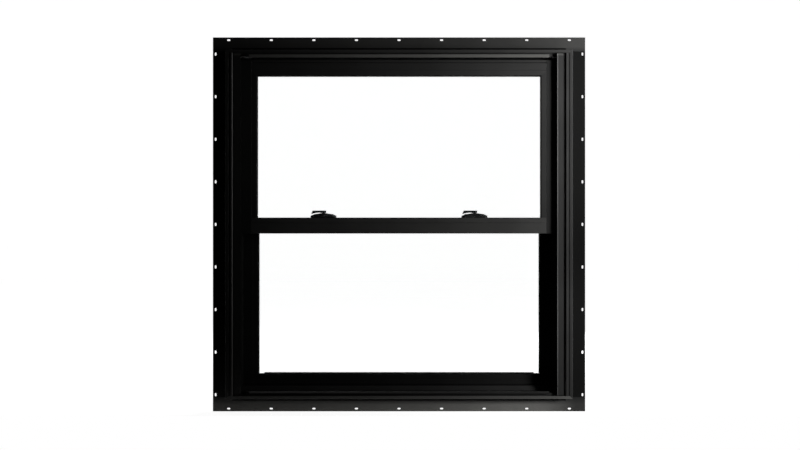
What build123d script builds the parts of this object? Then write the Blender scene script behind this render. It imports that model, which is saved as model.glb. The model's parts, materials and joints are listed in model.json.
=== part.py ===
from build123d import *
from math import floor
import os

# A double hung window seen from outside: X runs right, Y runs from outside to inside, Z runs up.
# Sizes in millimetres. Heights are measured from the middle of the frame until the pieces are saved.

# Frame
frame_width = 821.0
frame_height = 825.0
wall = 4.0
lip_width = 7.0
lip_thickness = 7.0
lip_radius = 0.4
lip_undercut = 1.0
valley_width = 5.0
valley_depth = 1.2
ridge_width = 3.3
slope_width = 2.2
fin_setback = 32.0
head_depth = 14.5
jamb_depth = 24.5
sill_depth = 26.2
sill_front = 13.0
sill_floor = 15.0
riser_setback = 4.0
riser_slope = 3.0
dam_height = 14.0
leg_height = 12.0
leg_thickness = 1.9
inner_stop = 4.5

# Nailing fin
fin_projection = 33.5
fin_thickness = 2.0
slot_pitch = 101.6
slot_length = 7.6
slot_width = 4.0
slot_edge = 6.4
slot_end = 1.5
root_offset = 4.5
root_width = 3.2
root_depth = 1.2
root_end = 12.5

# Covers and stops on the outside
cover_setback = 4.0
cover_thickness = 3.0
cover_width = 17.4
cover_gap = 1.7
cover_undercut = 0.7
cover_leg = 5.0
cover_end = 1.0
rib_height = 0.4
rib_width = 2.2
rib_top = 1.0
stop_width = 7.1
stop_groove = 3.3
stop_lean = 2.4
stop_thickness = 3.6
stop_clip = 2.4
stop_inset = 18.6

# Sashes
sash_thickness = 28.5
sash_gap = 3.5
sash_recess = 11.0
edge_radius = 1.0
side_gap = 2.0
head_gap = 7.7
seal_gap = 1.5
stop_gap = 1.0
stile_width = 34.0
top_rail_height = 24.5
bottom_rail_height = 12.5
meeting_drop = 21.8
meeting_height = 37.7
check_top = 28.8
check_foot = 1.0
bite = 12.5
rail_groove_drop = 5.7
rail_groove_width = 1.9
rail_groove_depth = 4.0
meeting_groove_drop = 12.0
meeting_groove_width = 1.0
meeting_groove_depth = 1.2
lift_projection = 12.5
lift_thickness = 4.0
lift_inset = 11.5
lift_rise = 1.2
lift_lip = 2.8
lift_drop = 8.0

# Glass
pane = 3.0
cavity = 12.0
bead_thickness = 4.0
bead_chamfer = 0.2
bead_flat = 12.0
bead_slope = 0.3
edge_gap = 1.5
spacer_width = 7.0
spacer_joint = 0.2

# Seals
pile_width = 5.6
pile_gap = 0.3
pile_drop = 11.0

# Balances
slot_mouth = 10.0
pocket_width = 20.0
pocket_lip = 2.5
shoe_height = 40.0
shoe_clearance = 0.3
bar_width = 8.0
bar_place = 12.0
bar_height = 6.0
channel_width = 15.0
channel_depth = 12.0
channel_wall = 1.2
channel_length = 300.0

# Sash locks
lock_spread = 363.5
lock_width = 63.0
lock_length = 26.0
lock_setback = 1.0
lock_end_height = 13.5
lock_height = 19.9
lock_pivot = 9.0
lock_corner = 7.8
shaft_radius = 4.0
bore_radius = 4.05
cam_radius = 14.0
cam_thickness = 3.8
cam_rise = 2.6
cam_gap = 0.6
hub_radius = 7.0
lever_reach = 30.0
lever_top = 26.2
lever_gap = 0.4
lever_droop = 2.8
lever_bevel = 4.0
lever_relief = 1.0
lever_waist = 18.0
waist_relief = 0.2
tip_radius = 4.5
keeper_width = 60.0
keeper_plate = 2.0
keeper_inset = 0.5
keeper_reach = 9.0
latch_length = 55.0
latch_width = 18.0
latch_thickness = 2.2
grip_place = 16.5
grip_length = 7.0
grip_width = 12.5

# Stations through the wall, outside to inside. The back face of the nailing fin is at zero.
front = -fin_setback
cover_face = front + cover_setback
cover_back = cover_face + cover_thickness
block_front = cover_back + cover_leg
upper_front = cover_face + sash_recess
upper_back = upper_front + sash_thickness
lower_front = upper_back + sash_gap
lower_back = lower_front + sash_thickness
stop_front = lower_back + stop_gap
back = stop_front + inner_stop
leg_front = (upper_back + lower_front - leg_thickness) / 2
leg_back = leg_front + leg_thickness
glass_stack = 2 * pane + cavity
past = 1.0

# Outlines as left, right, low, high
half_width = frame_width / 2
half_height = frame_height / 2
frame_outline = (-half_width, half_width, -half_height, half_height)
sash_half = half_width - jamb_depth - side_gap
upper_outline = (-sash_half, sash_half, -meeting_drop, half_height - head_depth - head_gap)
check_line = check_top - meeting_drop
lower_outline = (-sash_half, sash_half, -half_height + sill_depth + seal_gap, check_line)
rail_half = sash_half - stile_width
daylight_half = rail_half - bite
leg_edge = half_width - jamb_depth - leg_height
ridge_edge = lip_width + valley_width + ridge_width
slope_edge = ridge_edge + slope_width
cover_edge = slope_edge + cover_gap + cover_width
fin_half_width = half_width + fin_projection
rise = half_height + fin_projection / 2


def span(a0, a1, b0, b1):
    """Rectangle between two corners of a profile."""
    return Pos((a0 + a1) / 2, (b0 + b1) / 2) * Rectangle(abs(a1 - a0), abs(b1 - b0))


def block(x0, x1, y0, y1, z0, z1):
    """Straight bar between two corners."""
    middle = Pos((x0 + x1) / 2, (y0 + y1) / 2, (z0 + z1) / 2)
    return middle * Box(abs(x1 - x0), abs(y1 - y0), abs(z1 - z0))


def rounded(profile, radius, *corners):
    """Profile with the named corners rounded."""
    for corner in corners:
        nearest = profile.vertices().sort_by_distance(Vector(*corner))[0]
        profile = fillet(nearest, radius)
    return profile


def member(profile, outline, side, start, end):
    """Extrusion along one side of an outline. Its profile is drawn as depth by distance inward."""
    left, right, low, high = outline
    middle = (start + end) / 2
    origin, inward = {
        "top": ((middle, 0, high), (0, 0, -1)),
        "bottom": ((middle, 0, low), (0, 0, 1)),
        "left": ((left, 0, middle), (1, 0, 0)),
        "right": ((right, 0, middle), (-1, 0, 0)),
    }[side]
    depth = Vector(0, 1, 0)
    plane = Plane(origin=origin, x_dir=depth, z_dir=depth.cross(Vector(*inward)))
    return extrude(plane * profile, amount=(end - start) / 2, both=True)


def prism(points):
    """Block through the whole wall with the given outline in elevation."""
    return extrude(Plane.XZ * make_face(Polyline(*points, close=True)), amount=2 * frame_width, both=True)


def lip_and_wall():
    """Outer wall of the frame with the rounded lip at its outside edge. The lip is undercut."""
    lip = Polyline(
        (front, 0),
        (front, lip_width),
        (front + lip_thickness, lip_width - lip_undercut),
        (front + lip_thickness, 0),
        close=True,
    )
    profile = span(front, back, 0, wall) + make_face(lip)
    return rounded(profile, lip_radius, (front, 0), (front, lip_width))


def member_envelope(sign, depth):
    """Room of the head or the sill: mitred at its ends up to its depth, then clear between the jamb legs."""
    edge = sign * half_height
    inner = sign * (half_height - depth)
    far = sign * (half_height - depth - 4 * leg_height)
    cut = half_width - depth
    return prism(
        [
            (-half_width, edge),
            (half_width, edge),
            (cut, inner),
            (leg_edge, inner),
            (leg_edge, far),
            (-leg_edge, far),
            (-leg_edge, inner),
            (-cut, inner),
        ]
    )


def lip_room(sign):
    """Mitred room that the lip of the head or the sill takes out of the jambs."""
    edge = sign * half_height
    inner = sign * (half_height - lip_width)
    cut = half_width - lip_width
    return prism([(-half_width, edge), (half_width, edge), (cut, inner), (-cut, inner)])


def make_head():
    profile = lip_and_wall() + span(block_front, back, 0, head_depth)
    profile += span(leg_front, leg_back, head_depth, head_depth + leg_height / 2)
    profile += span(stop_front, back, head_depth, head_depth + leg_height)
    return member(profile, frame_outline, "top", -half_width, half_width) & member_envelope(1, head_depth)


def make_sill():
    """Sill with a low sloped gutter outside, a riser under the lower sash and a dam behind it."""
    riser_top = lower_front - riser_setback
    gutter = Polyline(
        (block_front, 0),
        (block_front, sill_front),
        (riser_top - riser_slope, sill_floor),
        (riser_top, sill_depth),
        (back, sill_depth),
        (back, 0),
        close=True,
    )
    profile = lip_and_wall() + make_face(gutter)
    profile += span(stop_front, back, sill_depth, sill_depth + dam_height)
    return member(profile, frame_outline, "bottom", -half_width, half_width) & member_envelope(-1, sill_depth)


def pocket_middle(sash_front):
    return sash_front + sash_thickness / 2


def lip_step():
    """Step beside the lip of a jamb: a shallow valley, a ridge and a slope down to the cover."""
    valley_edge = lip_width + valley_width
    lip_back = front + lip_thickness
    return make_face(
        Polyline(
            (lip_back, wall),
            (front + valley_depth, wall),
            (front + valley_depth, valley_edge),
            (front, valley_edge),
            (front, ridge_edge),
            (front + slope_width, slope_edge),
            (lip_back, slope_edge),
            close=True,
        )
    )


def make_jamb(side, head, sill):
    """Jamb with two sash tracks, each with a balance pocket behind a narrow mouth."""
    profile = lip_and_wall() + lip_step() + span(block_front, back, 0, jamb_depth)
    profile += span(leg_front, leg_back, jamb_depth, jamb_depth + leg_height)
    profile += span(stop_front, back, jamb_depth, jamb_depth + leg_height)
    for sash_front in (upper_front, lower_front):
        middle = pocket_middle(sash_front)
        profile -= span(middle - pocket_width / 2, middle + pocket_width / 2, wall, jamb_depth - pocket_lip)
        profile -= span(middle - slot_mouth / 2, middle + slot_mouth / 2, jamb_depth - pocket_lip, jamb_depth)
    jamb = member(profile, frame_outline, side, -half_height, half_height)
    return jamb - lip_room(1) - lip_room(-1) - head - sill


def slot_places(half_length):
    """Evenly spaced slots about the middle of a fin."""
    count = floor((half_length - slot_length / 2 - slot_end) / slot_pitch)
    return [slot_pitch * step for step in range(-count, count + 1)]


def make_fin(side):
    """Nailing fin with a row of slots. The head and sill fins run past the ends of the side fins."""
    level = side in ("top", "bottom")
    reach = fin_half_width if level else half_height
    profile = span(-fin_thickness, 0, -fin_projection, 0)
    fin = member(profile, frame_outline, side, -reach, reach)
    if level:
        groove = span(-fin_thickness, root_depth - fin_thickness, -root_offset - root_width, -root_offset)
        fin -= member(groove, frame_outline, side, root_end - half_width, half_width - root_end)
    offset = fin_projection - slot_edge
    slot = SlotOverall(slot_length, slot_width, rotation=0 if level else 90)
    hole = Rot(90, 0, 0) * extrude(slot, amount=2 * fin_thickness, both=True)
    for place in slot_places(reach):
        along = (place, (half_height + offset) * (1 if side == "top" else -1))
        across = ((half_width + offset) * (1 if side == "right" else -1), place)
        x, z = along if level else across
        fin -= Pos(x, 0, z) * hole
    return fin


def make_cover(side):
    """Flat cover beside the upper sash, clipped to the jamb, with a low rib along its inner edge."""
    inner = cover_edge - cover_width
    rib_face = cover_face - rib_height
    plate = make_face(
        Polyline(
            (cover_face, inner),
            (cover_face, cover_edge - rib_width),
            (rib_face, cover_edge - rib_top),
            (rib_face, cover_edge),
            (cover_back, cover_edge - cover_undercut),
            (cover_back, inner),
            close=True,
        )
    )
    clip = inner + cover_thickness
    plate += span(cover_back, block_front, clip, clip + cover_thickness)
    reach = half_height - lip_width - cover_end
    return member(plate, frame_outline, side, -reach, reach)


def make_stop(side):
    """Narrow strip across the head or the sill, clipped to the frame by a leg. Its top edge leans out."""
    inner = lip_width + stop_groove
    outer = inner + stop_width
    face_back = cover_face + stop_thickness
    top, foot = (inner, outer) if side == "top" else (outer, inner)
    face = Polyline(
        (cover_face, top),
        (cover_face + stop_lean, foot),
        (face_back, foot),
        (face_back, top),
        close=True,
    )
    clip = inner + stop_clip / 4
    profile = make_face(face) + span(face_back, block_front, clip, clip + stop_clip)
    reach = half_width - cover_edge - stop_inset
    return member(profile, frame_outline, side, -reach, reach)


def stile_profile(sash_front, body):
    """Sash member with a glazing rabbet that opens to the outside."""
    sash_back = sash_front + sash_thickness
    seat = sash_front + bead_thickness + glass_stack
    profile = span(sash_front, sash_back, 0, body) + span(seat, sash_back, body, body + bite)
    corners = ((sash_front, 0), (sash_back, 0), (sash_front, body), (sash_back, body + bite))
    return rounded(profile, edge_radius, *corners)


def make_stile(outline, sash_front, side, leg_low, leg_high):
    """Stile over the full height of a sash. Its glass seat runs only between the rails."""
    low, high = outline[2:]
    stile = member(stile_profile(sash_front, stile_width), outline, side, low, high)
    sign = 1 if side == "right" else -1
    inner = sign * (daylight_half - past)
    outer = sign * rail_half
    y0 = sash_front - past
    y1 = sash_front + sash_thickness + past
    for z0, z1 in ((low - past, leg_low), (leg_high, high + past)):
        stile -= block(inner, outer, y0, y1, z0, z1)
    return stile


def make_top_rail():
    """Top rail of the upper sash with a fine groove along its outside face."""
    profile = stile_profile(upper_front, top_rail_height)
    groove = rail_groove_drop + rail_groove_width
    profile -= span(upper_front, upper_front + rail_groove_depth, rail_groove_drop, groove)
    return member(profile, upper_outline, "top", -rail_half, rail_half)


def make_meeting_rail():
    """Bottom rail of the upper sash: a pocket for the glass, its inside leg level with the check rail.
    A fine groove runs along its outside face."""
    pocket_floor = check_top - bite
    seat = upper_front + bead_thickness
    profile = span(upper_front, upper_back, 0, meeting_height)
    profile -= span(seat, seat + glass_stack, pocket_floor, meeting_height)
    profile -= span(seat + glass_stack, upper_back, check_top, meeting_height)
    profile = rounded(profile, edge_radius, (upper_front, 0), (upper_back, 0), (upper_front, meeting_height))
    groove = meeting_height - meeting_groove_drop
    profile -= span(upper_front, upper_front + meeting_groove_depth, groove - meeting_groove_width, groove)
    return member(profile, upper_outline, "bottom", -rail_half, rail_half)


def make_check_rail():
    """Top rail of the lower sash with a glass pocket in its underside."""
    height = check_top - check_foot
    seat = lower_front + bead_thickness
    profile = span(lower_front, lower_back, 0, height)
    profile -= span(seat, seat + glass_stack, height - bite, height)
    corners = ((lower_front, 0), (lower_back, 0), (lower_front, height), (lower_back, height))
    profile = rounded(profile, edge_radius, *corners)
    return member(profile, lower_outline, "top", -rail_half, rail_half)


def make_bottom_rail():
    """Bottom rail of the lower sash with a lift ledge along its inside edge."""
    profile = stile_profile(lower_front, bottom_rail_height)
    rail = member(profile, lower_outline, "bottom", -rail_half, rail_half)
    top = bottom_rail_height + bite + lift_rise
    reach = lower_back + lift_projection
    ledge = span(lower_back - lift_thickness, reach, top - lift_thickness, top)
    ledge += span(reach - lift_lip, reach, top - lift_drop, top)
    ledge = rounded(ledge, edge_radius, (reach, top), (reach, top - lift_drop))
    lift_half = daylight_half - lift_inset
    return rail + member(ledge, lower_outline, "bottom", -lift_half, lift_half)


def bead_profile(sash_front, body):
    """Glazing bead that slopes to the glass."""
    seat = sash_front + bead_thickness
    return make_face(
        Polyline(
            (sash_front + bead_chamfer, body),
            (sash_front, body + bead_chamfer),
            (sash_front, body + bead_flat),
            (sash_front + bead_slope, body + bite),
            (seat, body + bite),
            (seat, body),
            close=True,
        )
    )


def make_beads(prefix, outline, sash_front, rail_side, rail_body, other_edge):
    """Three beads, mitred where the side beads meet the bead along the rail."""
    low, high = outline[2:]
    edge = high - rail_body if rail_side == "top" else low + rail_body
    sign = 1 if rail_side == "top" else -1
    inner = edge - sign * bite
    room = prism([(-rail_half, edge), (rail_half, edge), (daylight_half, inner), (-daylight_half, inner)])
    rail_bead = member(bead_profile(sash_front, rail_body), outline, rail_side, -rail_half, rail_half) & room
    beads = {f"{prefix}_bead_{rail_side}": rail_bead}
    z0, z1 = sorted((edge, other_edge))
    for side in ("left", "right"):
        bead = member(bead_profile(sash_front, stile_width), outline, side, z0, z1)
        beads[f"{prefix}_bead_{side}"] = bead - room
    return beads


def make_glass(prefix, sash_front, low, high):
    """Two panes held apart by a spacer frame of four bars."""
    half = rail_half - edge_gap
    outer = sash_front + bead_thickness
    gap_front = outer + pane
    gap_back = gap_front + cavity
    z0 = low + edge_gap
    z1 = high - edge_gap
    inset = edge_gap
    sx = half - inset
    bars = [
        block(-sx, sx, gap_front, gap_back, z0 + inset, z0 + inset + spacer_width),
        block(-sx, sx, gap_front, gap_back, z1 - inset - spacer_width, z1 - inset),
    ]
    lift = inset + spacer_width + spacer_joint
    for sign in (-1, 1):
        bars.append(block(sign * sx, sign * (sx - spacer_width), gap_front, gap_back, z0 + lift, z1 - lift))
    return {
        f"{prefix}_glass_outer": block(-half, half, outer, gap_front, z0, z1),
        f"{prefix}_glass_inner": block(-half, half, gap_back, gap_back + pane, z0, z1),
        f"{prefix}_spacer": Compound(children=bars),
    }


def make_shoes(sash_front, low):
    """Balance shoes in the jamb pockets, each with a pivot bar that reaches the sash."""
    middle = pocket_middle(sash_front)
    half = pocket_width / 2 - shoe_clearance
    body = span(middle - half, middle + half, wall + shoe_clearance, jamb_depth - pocket_lip - shoe_clearance)
    bar = span(middle - bar_width / 2, middle + bar_width / 2, wall + side_gap, jamb_depth + side_gap)
    bar_low = low + bar_place
    shoes = []
    for side in ("left", "right"):
        shoe = member(body, frame_outline, side, low, low + shoe_height)
        shoes.append(shoe + member(bar, frame_outline, side, bar_low, bar_low + bar_height))
    return Compound(children=shoes)


def make_channels():
    """Balance channels of the lower sash, standing in the pockets above it."""
    middle = pocket_middle(lower_front)
    half = channel_width / 2
    profile = span(middle - half, middle + half, wall, wall + channel_depth)
    hollow = half - channel_wall
    profile -= span(middle - hollow, middle + hollow, wall, wall + channel_depth - channel_wall)
    top = half_height - head_depth - 2 * shoe_height
    low = top - channel_length
    return Compound(children=[member(profile, frame_outline, side, low, top) for side in ("left", "right")])


def lock_place(side):
    sign = 1 if side == "right" else -1
    return Pos(sign * lock_spread / 2, lower_front + lock_setback + lock_pivot, check_line)


def make_lock_base():
    """Domed housing about the pivot, hollow below for the cam and open towards the upper sash."""
    half = lock_width / 2
    ends = Polyline((half, lock_end_height), (half, 0), (-half, 0), (-half, lock_end_height))
    dome = ThreePointArc((-half, lock_end_height), (0, lock_height), (half, lock_end_height))
    y0 = -lock_pivot
    y1 = lock_length - lock_pivot
    face = Plane.XZ * make_face([ends, dome])
    body = extrude(face, amount=lock_length, both=True)
    plan = Pos(0, (y0 + y1) / 2) * RectangleRounded(lock_width, lock_length, lock_corner)
    body &= extrude(plan, amount=2 * lock_height)
    room = cam_rise + cam_thickness + cam_gap
    body -= extrude(Circle(cam_radius + cam_gap), amount=room)
    return body - extrude(Circle(bore_radius), amount=2 * lock_height)


def make_lock_lever():
    """Lever with a drooping tip, its shaft and the half round cam below."""
    bottom = lock_height + lever_gap
    thick = lever_top - bottom
    arm = Polyline(
        (-lever_reach, bottom - lever_droop),
        (lever_bevel - lever_reach, lever_top),
        (hub_radius, lever_top),
        (hub_radius, bottom),
        (-hub_radius, bottom),
        (-hub_radius, bottom + lever_relief),
    )
    under = ThreePointArc(
        (-hub_radius, bottom + lever_relief),
        (-lever_waist, bottom + waist_relief),
        (-lever_reach, bottom - lever_droop),
    )
    side = extrude(Plane.XZ * make_face([arm, under]), amount=2 * hub_radius, both=True)
    tip = lever_reach - tip_radius
    flank = Polyline((0, hub_radius), (-tip, tip_radius), (-tip, -tip_radius), (0, -hub_radius), close=True)
    plan = Circle(hub_radius) + make_face(flank) + Pos(-tip, 0) * Circle(tip_radius)
    lever = side & extrude(plan, amount=2 * lever_top)
    cam_top = cam_rise + cam_thickness
    shaft = Pos(0, 0, cam_top) * extrude(Circle(shaft_radius), amount=bottom + thick / 2 - cam_top)
    half_disc = Circle(cam_radius) & span(-cam_radius, cam_radius, -cam_radius, shaft_radius)
    return lever + shaft + Pos(0, 0, cam_rise) * extrude(half_disc, amount=cam_thickness)


def make_keeper(side):
    """Keeper on the meeting rail. Its upper lip reaches over the cam."""
    seat = upper_front + bead_thickness + glass_stack + keeper_inset
    lip_low = cam_rise + cam_thickness + cam_gap
    profile = span(seat, upper_back, 0, keeper_plate)
    profile += span(seat, seat + keeper_plate, 0, lip_low + keeper_plate)
    profile += span(seat, seat + keeper_reach, lip_low, lip_low + keeper_plate)
    middle = lock_spread / 2 * (1 if side == "right" else -1)
    run = Plane(origin=(middle, 0, check_line), x_dir=(0, 1, 0), z_dir=(1, 0, 0))
    return extrude(run * profile, amount=keeper_width / 2, both=True)


def make_latch(side):
    """Tilt latch on the check rail, its bolt reaching over the stile to the jamb."""
    sign = 1 if side == "right" else -1
    middle = lower_front + sash_thickness / 2
    inner = rail_half - latch_length
    half = latch_width / 2
    plate = block(sign * inner, sign * rail_half, middle - half, middle + half, 0, latch_thickness)
    grip_middle = sign * (inner + grip_place)
    x0 = grip_middle - grip_length / 2
    x1 = grip_middle + grip_length / 2
    y0 = middle - grip_width / 2
    y1 = middle + grip_width / 2
    grip = block(x0, x1, y0, y1, latch_thickness, 2 * latch_thickness)
    nose = half_width - jamb_depth - shoe_clearance
    half = slot_mouth / 2
    bolt = block(sign * rail_half, sign * nose, middle - half, middle + half, 0, latch_thickness)
    return Pos(0, 0, check_line) * (plate + grip + bolt)


def make_seals():
    """Pile above the upper sash, pile between the meeting rails and the bulb under the lower sash."""
    sash_top = upper_outline[3]
    middle = pocket_middle(upper_front)
    half = pile_width / 2
    ceiling = half_height - head_depth - pile_gap
    head_pile = block(-rail_half, rail_half, middle - half, middle + half, sash_top, ceiling)
    reach = leg_edge - side_gap
    top = check_line - pile_drop
    meeting_pile = block(-reach, reach, upper_back, lower_front - pile_gap, top - pile_width, top)
    bulb = pocket_middle(lower_front)
    sill_line = sill_depth - half_height
    y0 = bulb - pile_width
    y1 = bulb + pile_width
    sill_seal = block(-rail_half, rail_half, y0, y1, sill_line, sill_line + seal_gap)
    return {"head_pile": head_pile, "meeting_pile": meeting_pile, "sill_seal": sill_seal}


def make_window():
    head = make_head()
    sill = make_sill()
    nodes = {"frame_head": head, "frame_sill": sill}
    fin_names = {"top": "head", "bottom": "sill", "left": "left", "right": "right"}
    for side, name in fin_names.items():
        nodes[f"nail_fin_{name}"] = make_fin(side)
    nodes["head_stop"] = make_stop("top")
    nodes["sill_stop"] = make_stop("bottom")

    upper_low, upper_high = upper_outline[2:]
    lower_low, lower_high = lower_outline[2:]
    upper_day_top = upper_high - top_rail_height - bite
    lower_day_low = lower_low + bottom_rail_height + bite
    lower_day_top = lower_high - check_top + check_foot
    nodes["upper_top_rail"] = make_top_rail()
    nodes["upper_meeting_rail"] = make_meeting_rail()
    nodes["lower_check_rail"] = make_check_rail()
    nodes["lower_bottom_rail"] = make_bottom_rail()
    for side in ("left", "right"):
        nodes[f"frame_jamb_{side}"] = make_jamb(side, head, sill)
        nodes[f"jamb_cover_{side}"] = make_cover(side)
        upper_stile = make_stile(upper_outline, upper_front, side, check_line, upper_day_top)
        lower_stile = make_stile(lower_outline, lower_front, side, lower_day_low, lower_day_top)
        nodes[f"upper_stile_{side}"] = upper_stile
        nodes[f"lower_stile_{side}"] = lower_stile
        nodes[f"lock_base_{side}"] = lock_place(side) * make_lock_base()
        nodes[f"lock_lever_{side}"] = lock_place(side) * make_lock_lever()
        nodes[f"lock_keeper_{side}"] = make_keeper(side)
        nodes[f"tilt_latch_{side}"] = make_latch(side)

    meeting_top = upper_low + meeting_height
    nodes.update(make_beads("upper", upper_outline, upper_front, "top", top_rail_height, meeting_top))
    nodes.update(make_beads("lower", lower_outline, lower_front, "bottom", bottom_rail_height, lower_day_top))
    nodes.update(make_glass("upper", upper_front, upper_low + check_top - bite, upper_high - top_rail_height))
    nodes.update(make_glass("lower", lower_front, lower_low + bottom_rail_height, lower_day_top + bite))
    nodes["upper_balance_shoes"] = make_shoes(upper_front, upper_low + shoe_height / 4)
    nodes["lower_balance_shoes"] = make_shoes(lower_front, lower_low + shoe_height / 4)
    nodes["lower_balance_channels"] = make_channels()
    nodes.update(make_seals())
    return nodes


os.makedirs("parts", exist_ok=True)
for name, piece in make_window().items():
    export_step(Pos(0, 0, rise) * piece, f"parts/{name}.step")
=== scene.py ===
# %% [markdown]
# A double hung window: a black frame with a nailing fin round it, and two sashes that slide past each
# other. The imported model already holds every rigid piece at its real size. This lesson gives each
# piece its finish, adds the small fittings and soft seals that a maker buys in, and sets a plain
# studio round the window.

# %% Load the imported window
import bpy
import json
from math import radians
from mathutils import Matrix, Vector


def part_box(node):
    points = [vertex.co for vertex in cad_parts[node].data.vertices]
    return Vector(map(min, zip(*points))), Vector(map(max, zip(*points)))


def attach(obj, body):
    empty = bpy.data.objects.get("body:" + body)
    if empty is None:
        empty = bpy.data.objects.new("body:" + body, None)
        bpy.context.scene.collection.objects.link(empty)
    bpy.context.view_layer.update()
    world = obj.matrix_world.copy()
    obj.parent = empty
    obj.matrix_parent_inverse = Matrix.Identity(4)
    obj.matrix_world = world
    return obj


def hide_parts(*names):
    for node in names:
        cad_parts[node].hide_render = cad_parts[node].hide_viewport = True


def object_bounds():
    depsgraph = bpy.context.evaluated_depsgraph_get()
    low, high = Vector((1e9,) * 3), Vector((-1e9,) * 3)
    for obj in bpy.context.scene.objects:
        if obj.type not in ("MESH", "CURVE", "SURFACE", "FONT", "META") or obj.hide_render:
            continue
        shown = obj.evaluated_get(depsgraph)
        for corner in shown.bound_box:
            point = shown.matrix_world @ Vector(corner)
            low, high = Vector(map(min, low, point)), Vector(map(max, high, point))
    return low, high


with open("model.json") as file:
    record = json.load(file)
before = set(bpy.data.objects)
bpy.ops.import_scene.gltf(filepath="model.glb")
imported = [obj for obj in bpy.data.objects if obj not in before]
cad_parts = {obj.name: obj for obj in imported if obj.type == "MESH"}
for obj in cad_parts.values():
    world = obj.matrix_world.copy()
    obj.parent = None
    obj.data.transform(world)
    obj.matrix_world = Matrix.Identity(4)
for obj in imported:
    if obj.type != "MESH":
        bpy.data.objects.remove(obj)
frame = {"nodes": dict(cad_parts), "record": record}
cad_low, cad_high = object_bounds()
nodes = frame["nodes"]
print("nodes", len(nodes), "box", [round(v, 4) for v in (*cad_low, *cad_high)])

# %% [markdown]
# The photograph looks straight at the outside of the window from about three metres. A long lens
# keeps the frame's sides almost parallel. The focal length could be guessed and corrected by eye.
# Here it follows from how wide the fin is in the picture and how far away the camera stands, so the
# window lands at the right size at once.

# %% Camera square to the window
quarter_turn = radians(90)
image_width = 800
fin_pixels = 372.0
camera_distance = 3.05
camera_right = 0.0023
camera_drop = 0.0015
sensor_width = 36.0
fin_low, fin_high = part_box("nail_fin_head")
fin_width = fin_high.x - fin_low.x
window_middle = (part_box("nail_fin_sill")[0].z + fin_high.z) / 2

camera_data = bpy.data.cameras.new("camera")
camera_data.sensor_width = sensor_width
camera_data.lens = sensor_width * camera_distance * fin_pixels / (fin_width * image_width)
camera = bpy.data.objects.new("camera", camera_data)
camera.location = (camera_right, -camera_distance, window_middle - camera_drop)
camera.rotation_euler = (quarter_turn, 0, 0)
bpy.context.scene.collection.objects.link(camera)
bpy.context.scene.camera = camera
bpy.context.scene.view_settings.view_transform = "Standard"
print("lens", round(camera_data.lens, 2), "mm")

# %% [markdown]
# Every finish in this lesson is a small node tree, and a few steps come back in all of them: start a
# material, place a noise, stretch a value to another range, and mix two colours. Each could be wired
# by hand every time. Short helpers keep the finishes below readable, so that their own values stand
# out.


# %% Helpers that start a material
def shader_tree(name):
    """Material with an empty node tree, and its output node."""
    material = bpy.data.materials.new(name)
    material.use_nodes = True
    tree = material.node_tree
    tree.nodes.clear()
    return material, tree, tree.nodes.new("ShaderNodeOutputMaterial")


def feed(tree, socket, value):
    """Give a socket another node's output, or a plain number or colour."""
    if isinstance(value, bpy.types.NodeSocket):
        tree.links.new(value, socket)
    else:
        socket.default_value = value


def object_place(tree):
    return tree.nodes.new("ShaderNodeTexCoord").outputs["Object"]


def noise(tree, vector, scale, detail=4.0, rough=0.6):
    texture = tree.nodes.new("ShaderNodeTexNoise")
    texture.inputs["Detail"].default_value = detail
    texture.inputs["Roughness"].default_value = rough
    feed(tree, texture.inputs["Vector"], vector)
    feed(tree, texture.inputs["Scale"], scale)
    return texture.outputs["Fac"]


print("material helpers ready")


# %% Helpers for values, colours and rays
def calculate(tree, operation, first, second):
    node = tree.nodes.new("ShaderNodeMath")
    node.operation = operation
    feed(tree, node.inputs[0], first)
    feed(tree, node.inputs[1], second)
    return node.outputs[0]


def spread(tree, value, low, high, out_low=0.0, out_high=1.0):
    """Value stretched from one range to another, held at both ends."""
    ranged = tree.nodes.new("ShaderNodeMapRange")
    limits = {"From Min": low, "From Max": high, "To Min": out_low, "To Max": out_high}
    for socket, number in limits.items():
        ranged.inputs[socket].default_value = number
    feed(tree, ranged.inputs["Value"], value)
    return ranged.outputs["Result"]


def between(tree, mask, low, high):
    """Value that goes from low to high as the mask goes from zero to one."""
    return spread(tree, mask, 0, 1, low, high)


def blend_colour(tree, mask, low, high):
    """Mix of two colours, each a socket or three plain numbers."""
    mixed = tree.nodes.new("ShaderNodeMix")
    mixed.data_type = "RGBA"
    for socket, colour in (("A", low), ("B", high)):
        feed(tree, mixed.inputs[socket], (*colour, 1) if isinstance(colour, tuple) else colour)
    feed(tree, mixed.inputs["Factor"], mask)
    return mixed.outputs["Result"]


def seen_rays(tree, *kinds):
    """One for the named kinds of ray and zero for the rest."""
    path = tree.nodes.new("ShaderNodeLightPath")
    seen = path.outputs[kinds[0]]
    for kind in kinds[1:]:
        seen = calculate(tree, "MAXIMUM", seen, path.outputs[kind])
    return seen


print("value helpers ready")

# %% [markdown]
# The studio is a pale floor with a white backdrop far behind the window. Lamps strong enough to burn
# both out to white would also turn the black frame grey. So both glow for rays that the camera, a
# reflection or a pane sends out. Close to the window the floor glows a little less, and its plain
# paint carries the shadow there. It starts just in front of the frame, so that the black front
# mirrors little of it.

# %% Floor and backdrop
studio_size = 24.0
backdrop_distance = 7.0
floor_front = 0.075
floor_glow = 0.93
backdrop_glow = 1.0
glow_start = 0.4
glow_full = 2.2
pale_paint = (0.86, 0.86, 0.86, 1)
white = (1, 1, 1, 1)


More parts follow.
